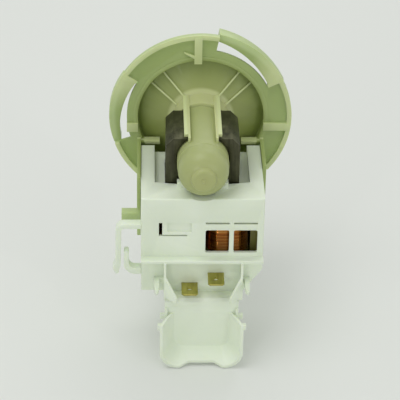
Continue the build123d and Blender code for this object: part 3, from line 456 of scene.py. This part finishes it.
bush_ceramic = moulded("bush_ceramic", (232, 230, 222), (222, 219, 210), (0.25, 0.35), grain=0.05)
for finish in (white_plastic, natural_plastic, bobbin_plastic, dark_plastic, rotor_plastic, seal_rubber,
               bush_ceramic):
    print(finish.name, len(finish.node_tree.nodes), "shader nodes")


# %% [markdown]
# ## The stamped core
# The core is a stack of stamped sheets. The faces at the two ends of the stack are each one plain sheet, and
# they look along Y, so a pattern of bands along Y never changes on them. Every other face shows the edges of
# the sheets, where the bands darken and press in the joints.

# %% Stamped sheets
SHEET_PITCH = 0.65 * MM
# A wave of this scale has one band to a sheet, within 2 per cent
SHEET_WAVE = 1 / (math.pi * SHEET_PITCH)
JOINT_SHARE = 0.8


def stamped_sheets(name):
    """Stained steel with a dark joint between every two sheets."""
    material, tree, shader, coords = new_finish(name)
    wave = tree.nodes.new("ShaderNodeTexWave")
    wave.bands_direction = "Y"
    wave.inputs["Scale"].default_value = SHEET_WAVE
    wave.inputs["Distortion"].default_value = 0.4
    wave.inputs["Detail"].default_value = 1
    tree.links.new(coords.outputs["Object"], wave.inputs["Vector"])
    stain = add_noise(tree, coords, 420, detail=8, stretch=(1, 0.6, 0.12))
    tones = add_ramp(tree, stain.outputs["Fac"], [
        (0.30, linear(58, 58, 42)), (0.52, linear(88, 88, 66)), (0.72, linear(120, 120, 94))])
    joints = add_ramp(tree, wave.outputs["Fac"], [(0.0, (0.35, 0.35, 0.33)), (0.35, grey(1))])
    colour = multiplied(tree, tones.outputs["Color"], joints.outputs["Color"], JOINT_SHARE)
    tree.links.new(colour, shader.inputs["Base Color"])
    shader.inputs["Metallic"].default_value = 0.75
    add_gloss(tree, shader, stain.outputs["Fac"], (0.3, 0.7), (0.34, 0.52))
    add_bump(tree, shader, wave.outputs["Fac"], 0.5, 0.06)
    return material


core_steel = stamped_sheets("core_steel")
print("sheets of", round(SHEET_PITCH / MM, 2), "mm")


# %% [markdown]
# ## Ground and pressed metals
# The shaft is ground and the tabs are cut from rolled strip, so both have fine streaks along Y. A noise that
# is drawn out along Y gives them, in the tone and in the gloss. The magnet is pressed from ferrite powder: it
# is dark and dull, and its noise has no direction.

# %% Ground metals
def ground_metal(name, light, dark, rough, stretch=(1, 1, 1), scale=900, metallic=1.0):
    """Metal in two near tones, whose gloss and fine relief follow the same noise."""
    material, tree, shader, coords = new_finish(name)
    brushed = add_noise(tree, coords, scale, detail=6, stretch=stretch)
    tones = add_ramp(tree, brushed.outputs["Fac"], [(0.3, linear(*dark)), (0.7, linear(*light))])
    tree.links.new(tones.outputs["Color"], shader.inputs["Base Color"])
    add_gloss(tree, shader, brushed.outputs["Fac"], (0.3, 0.7), rough)
    add_bump(tree, shader, brushed.outputs["Fac"], 0.15, 0.02)
    shader.inputs["Metallic"].default_value = metallic
    return material


shaft_steel = ground_metal("shaft_steel", (196, 198, 200), (176, 178, 181), (0.18, 0.3), stretch=(1, 0.1, 1))
tab_brass = ground_metal(
    "tab_brass", (190, 182, 104), (164, 156, 82), (0.28, 0.42), stretch=(1, 0.15, 1), scale=600)
ferrite = ground_metal("ferrite", (66, 66, 70), (50, 50, 54), (0.4, 0.6), metallic=0.2)
for finish in (core_steel, shaft_steel, tab_brass, ferrite):
    print(finish.name, len(finish.node_tree.nodes), "shader nodes")


# %% [markdown]
# ## Enamelled copper wire
# The wire is far finer than the solids can carry: about fifty turns to a coil. Its enamel is a clear, warm
# coat over copper, so the shader gets a coat layer, and the colour drifts from turn to turn, which a noise
# squeezed along Z gives.

# %% Copper
def wound_copper(name):
    """Copper under a clear coat, in tones that change with the height."""
    material, tree, shader, coords = new_finish(name)
    turns = add_noise(tree, coords, 90, detail=3, stretch=(0.5, 0.5, 14))
    tones = add_ramp(tree, turns.outputs["Fac"], [
        (0.28, linear(150, 82, 24)), (0.5, linear(214, 136, 52)), (0.74, linear(250, 196, 110))])
    tree.links.new(tones.outputs["Color"], shader.inputs["Base Color"])
    shader.inputs["Metallic"].default_value = 0.9
    shader.inputs["Roughness"].default_value = 0.13
    shader.inputs["Coat Weight"].default_value = 0.6
    shader.inputs["Coat Roughness"].default_value = 0.05
    add_bump(tree, shader, turns.outputs["Fac"], 0.2, 0.03)
    return material


copper = wound_copper("copper")
print(copper.name, len(copper.node_tree.nodes), "shader nodes")


# %% [markdown]
# ## A finish for every solid
# The record names a material slot for each solid. Each slot has one finish here, so pieces of one material
# look alike wherever they sit, and the solids that no later step replaces are already dressed.

# %% Dress the solids
finish_of_slot = {
    "natural_plastic": natural_plastic, "white_plastic": white_plastic, "bobbin_plastic": bobbin_plastic,
    "core_steel": core_steel, "copper": copper, "tab_brass": tab_brass, "seal_rubber": seal_rubber,
    "bush_ceramic": bush_ceramic, "magnet_ferrite": ferrite, "rotor_plastic": rotor_plastic,
    "impeller_plastic": dark_plastic, "shaft_steel": shaft_steel}
slot_of_node = {part["node"]: part["material_slot"] for part in frame["record"]["subparts"]}
for node, solid in frame["nodes"].items():
    solid.data.materials.clear()
    solid.data.materials.append(finish_of_slot[slot_of_node[node]])
print("finishes:", len(finish_of_slot))


# %% [markdown]
# ## Softened edges
# Nothing that leaves a mould has a sharp edge, and the thin bright lines along the edges are what makes a
# moulding look real. Stamped sheets and tabs have a smaller softness, from the wear of the tool. A copy of
# the solid is merged, its flat faces are joined again, and a narrow bevel goes round the edges. The shroud
# keeps its triangles, because its bevel breaks on the joined faces. The copy is seen in place of the solid,
# which stays underneath for collision.

# %% Softened copies
# In degrees: edges that turn by more are softened, and faces that turn by less are joined
SHARP_ANGLE = 32
FLAT_ANGLE = 0.6
BEVEL_STEPS = 2


def softened(node, width_mm, ending, joined=True):
    """Replace a solid with a copy whose edges have a narrow bevel, named after the node."""
    solid = frame["nodes"][node]
    copy = solid.copy()
    copy.data = solid.data.copy()
    copy.parent = None
    # The copy is a new piece, so it drops the marks by which the frame knows its solids
    for key in list(copy.keys()):
        del copy[key]
    scene.collection.objects.link(copy)
    edit(copy)
    bpy.ops.mesh.remove_doubles(threshold=MERGE_DISTANCE)
    bpy.ops.mesh.customdata_custom_splitnormals_clear()
    if joined:
        bpy.ops.mesh.dissolve_limited(angle_limit=math.radians(FLAT_ANGLE), delimit={"NORMAL"})
    leave()
    bevel = copy.modifiers.new("edge", "BEVEL")
    bevel.width = width_mm * MM
    bevel.segments = BEVEL_STEPS
    bevel.limit_method = "ANGLE"
    bevel.angle_limit = math.radians(SHARP_ANGLE)
    bevel.use_clamp_overlap = True
    bevel.miter_outer = "MITER_ARC"
    bpy.ops.object.modifier_apply(modifier="edge")
    slot = slot_of_node[node]
    finish_piece(copy, node + "_" + ending, finish_of_slot[slot], body_of(node), heal=False)
    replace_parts(copy, node)


for node, width, ending in (
        ("coil_housing", 0.25, "moulded"),
        ("terminal_cover", 0.3, "moulded"),
        ("wire_clip", 0.2, "moulded"),
        ("bayonet_flange", 0.2, "moulded"),
        ("bobbin_left", 0.15, "moulded"),
        ("bobbin_right", 0.15, "moulded"),
        ("bottom_cover", 0.2, "moulded"),
        ("bearing_carrier", 0.2, "moulded"),
        ("impeller", 0.25, "moulded"),
        ("hub_lid", 0.2, "moulded"),
        ("stator_core", 0.12, "stamped")):
    softened(node, width, ending)
softened("terminal_shroud", 0.2, "moulded", joined=False)
for side in ("left", "right"):
    softened("terminal_" + side, 0.06, "blade")


# %% [markdown]
# ## The windings
# A winding is a stack of turns pulled round a box-shaped bobbin. It could be one long swept wire, but at this
# fineness that is a heavy mesh. Here a rounded plate is extruded upwards turn by turn, and each turn
# swells and draws in again, which catches the light as fine level lines.

# %% Windings
TURNS = 50
WINDING_MARGIN = 0.3 * MM
WINDING_CORNER = 5.2 * MM
CORNER_STEPS = 10
# How far a turn swells in mm, and how that drifts from turn to turn
BULGE = 0.12
BULGE_DRIFT = 0.04
DRIFT_STEP = 2.3
# Each turn in five steps: the share of its height to rise, and the share of the bulge to widen by
TURN_STEPS = ((0.12, 0.8), (0.26, 0.2), (0.24, 0.0), (0.26, -0.2), (0.12, -0.8))


def winding(node, name):
    """A rounded box of level turns that fills the box of a coil."""
    low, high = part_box(node)
    centre = (low + high) / 2
    width, depth, height = high - low
    pitch = height / TURNS
    release_all()
    bpy.ops.mesh.primitive_plane_add(size=1, location=(centre.x, centre.y, low.z))
    plate = bpy.context.object
    plate.scale = (width - WINDING_MARGIN, depth - WINDING_MARGIN, 1)
    settle(plate)
    edit(plate)
    bpy.ops.mesh.select_mode(type="VERT")
    bpy.ops.mesh.select_all(action="SELECT")
    bpy.ops.mesh.bevel(
        offset=WINDING_CORNER, offset_type="OFFSET", segments=CORNER_STEPS, affect="VERTICES")
    bpy.ops.mesh.select_mode(type="FACE")
    bpy.ops.mesh.select_all(action="SELECT")
    for turn in range(TURNS):
        bulge = (BULGE + BULGE_DRIFT * math.sin(DRIFT_STEP * turn)) * MM
        for rise, share in TURN_STEPS:
            grow_x = 1 + share * 2 * bulge / width
            grow_y = 1 + share * 2 * bulge / depth
            bpy.ops.mesh.extrude_region_move(TRANSFORM_OT_translate={"value": (0, 0, rise * pitch)})
            bpy.ops.transform.resize(value=(grow_x, grow_y, 1), center_override=tuple(centre))
    leave()
    return finish_piece(plate, name, copper, body_of(node), smooth=60)


for side in ("left", "right"):
    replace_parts(winding("coil_" + side, "winding_" + side), "coil_" + side)


# %% [markdown]
# ## The living hinge
# Shroud and cover are one moulding. Where the cover folds, the plastic thins to a film of a third of a
# millimetre. It is a strip of faces from the lower edge of the shroud's floor to the top of the cover, cut
# across into narrow rows.

# %% Hinge film
FILM_HALF_WIDTH = 13.9 * MM
FILM_REACH = 0.75 * MM
FILM_TILT = math.radians(56)
FILM_THICKNESS = 0.34 * MM
FILM_ROWS = 9
FILM_COLUMNS = 24
# The film's middle lies in front of the back of the cover and above its top
FILM_FORWARD = 0.7 * MM
FILM_ABOVE = 0.45 * MM


def hinge_film():
    """A thin grid, tilted and given its thickness."""
    cover_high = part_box("terminal_cover")[1]
    middle = Vector((0, cover_high.y - FILM_FORWARD, cover_high.z + FILM_ABOVE))
    release_all()
    bpy.ops.mesh.primitive_grid_add(x_subdivisions=FILM_COLUMNS, y_subdivisions=FILM_ROWS, size=2)
    film = bpy.context.object
    film.name = "hinge_film"
    film.scale = (FILM_HALF_WIDTH, FILM_REACH, 1)
    film.rotation_euler = (FILM_TILT, 0, 0)
    film.location = middle
    settle(film)
    thick = film.modifiers.new("film", "SOLIDIFY")
    thick.thickness = FILM_THICKNESS
    thick.offset = 0
    bpy.ops.object.modifier_apply(modifier="film")
    edit(film)
    bpy.ops.mesh.normals_make_consistent(inside=False)
    leave()
    bpy.ops.object.shade_smooth_by_angle(angle=math.radians(50))
    film.data.materials.append(white_plastic)
    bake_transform(film)
    print("hinge_film", len(film.data.polygons), "faces")


hinge_film()


# %% [markdown]
# ## The gate mark
# The melt enters the can at the middle of its tip. What is left is a small round scar: a shallow rim and, in
# it, the torn stub of the runner.

# %% Gate mark
MARK_RADIUS = 1.25 * MM
MARK_HEIGHT = 0.30 * MM
MARK_SINK = 0.02 * MM
MARK_RIM = 0.35 * MM
MARK_RIM_DEPTH = 0.10 * MM
STUB_INSET = 0.40 * MM
STUB_HEIGHT = 0.22 * MM
STUB_TILT = math.radians(9)
MARK_SOFTNESS = 0.07 * MM


def gate_mark():
    """A low disc on the can's tip, whose face is inset twice: once down into a rim, once up into a stub."""
    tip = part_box("bayonet_flange")[0].y
    release_all()
    bpy.ops.mesh.primitive_cylinder_add(
        vertices=32, radius=MARK_RADIUS, depth=MARK_HEIGHT,
        location=(0, tip + MARK_SINK, 0), rotation=(math.radians(90), 0, 0))
    mark = bpy.context.object
    settle(mark)
    edit(mark, lambda face: face.normal.y < -0.9)
    bpy.ops.mesh.inset(thickness=MARK_RIM)
    bpy.ops.transform.translate(value=(0, MARK_RIM_DEPTH, 0))
    bpy.ops.mesh.inset(thickness=STUB_INSET)
    bpy.ops.transform.translate(value=(0, -STUB_HEIGHT, 0))
    bpy.ops.transform.rotate(value=STUB_TILT, orient_axis="X", center_override=(0, tip, 0))
    leave()
    edge = mark.modifiers.new("edge", "BEVEL")
    edge.width = MARK_SOFTNESS
    edge.segments = BEVEL_STEPS
    bpy.ops.object.modifier_apply(modifier="edge")
    finish_piece(mark, "gate_mark", natural_plastic, "stator")


gate_mark()


# %% [markdown]
# ## Floor and light
# A plain pale floor and an even sky, as under a light tent. One large lamp shines from above, another from
# behind, which lights the far edges of the plastics. Two small lamps stand low in front, left and right, and
# are aimed at the windows of the housing, because the copper shows bright lines only where something small
# and bright is mirrored in it. The floor lies just below the lowest point of the pump.

# %% Stage
FLOOR_SIZE = 6
FLOOR_GAP = 0.4 * MM
PAPER_COLOUR = (226, 228, 224)
SKY_COLOUR = (0.97, 0.99, 0.97, 1)
SKY_STRENGTH = 0.64
PUMP_MIDDLE = (0, -0.02, -0.03)
LEFT_WINDOW = (0.006, -0.04, -0.029)
RIGHT_WINDOW = (0.015, -0.04, -0.029)

release_all()
bpy.ops.mesh.primitive_plane_add(size=FLOOR_SIZE, location=(0, 0, cad_box[0][2] - FLOOR_GAP))
floor = bpy.context.object
floor.name = "floor"
paper = bpy.data.materials.new("paper")
paper.use_nodes = True
paper_shader = paper.node_tree.nodes["Principled BSDF"]
paper_shader.inputs["Base Color"].default_value = (*linear(*PAPER_COLOUR), 1)
paper_shader.inputs["Roughness"].default_value = 0.9
floor.data.materials.append(paper)

world = bpy.data.worlds.new("studio")
scene.world = world
world.use_nodes = True
sky = world.node_tree.nodes["Background"]
sky.inputs["Color"].default_value = SKY_COLOUR
sky.inputs["Strength"].default_value = SKY_STRENGTH


def soft_box(name, place, size, watts, aim=PUMP_MIDDLE):
    """A square lamp at a place, turned towards its aim."""
    lamp = bpy.data.objects.new(name, bpy.data.lights.new(name, "AREA"))
    scene.collection.objects.link(lamp)
    lamp.data.size = size
    lamp.data.energy = watts
    lamp.location = place
    lamp.rotation_euler = (Vector(aim) - Vector(place)).to_track_quat("-Z", "Y").to_euler()
    print(name, "lamp,", watts, "W,", size, "m wide")


soft_box("key", (-0.25, -0.15, 0.80), size=0.5, watts=1.9)
soft_box("back", (0.10, 0.60, 0.55), size=0.6, watts=1.2)
soft_box("glint_left", (-0.215, -0.56, 0.13), size=0.025, watts=0.20, aim=LEFT_WINDOW)
soft_box("glint_right", (0.37, -0.50, 0.13), size=0.025, watts=0.20, aim=RIGHT_WINDOW)
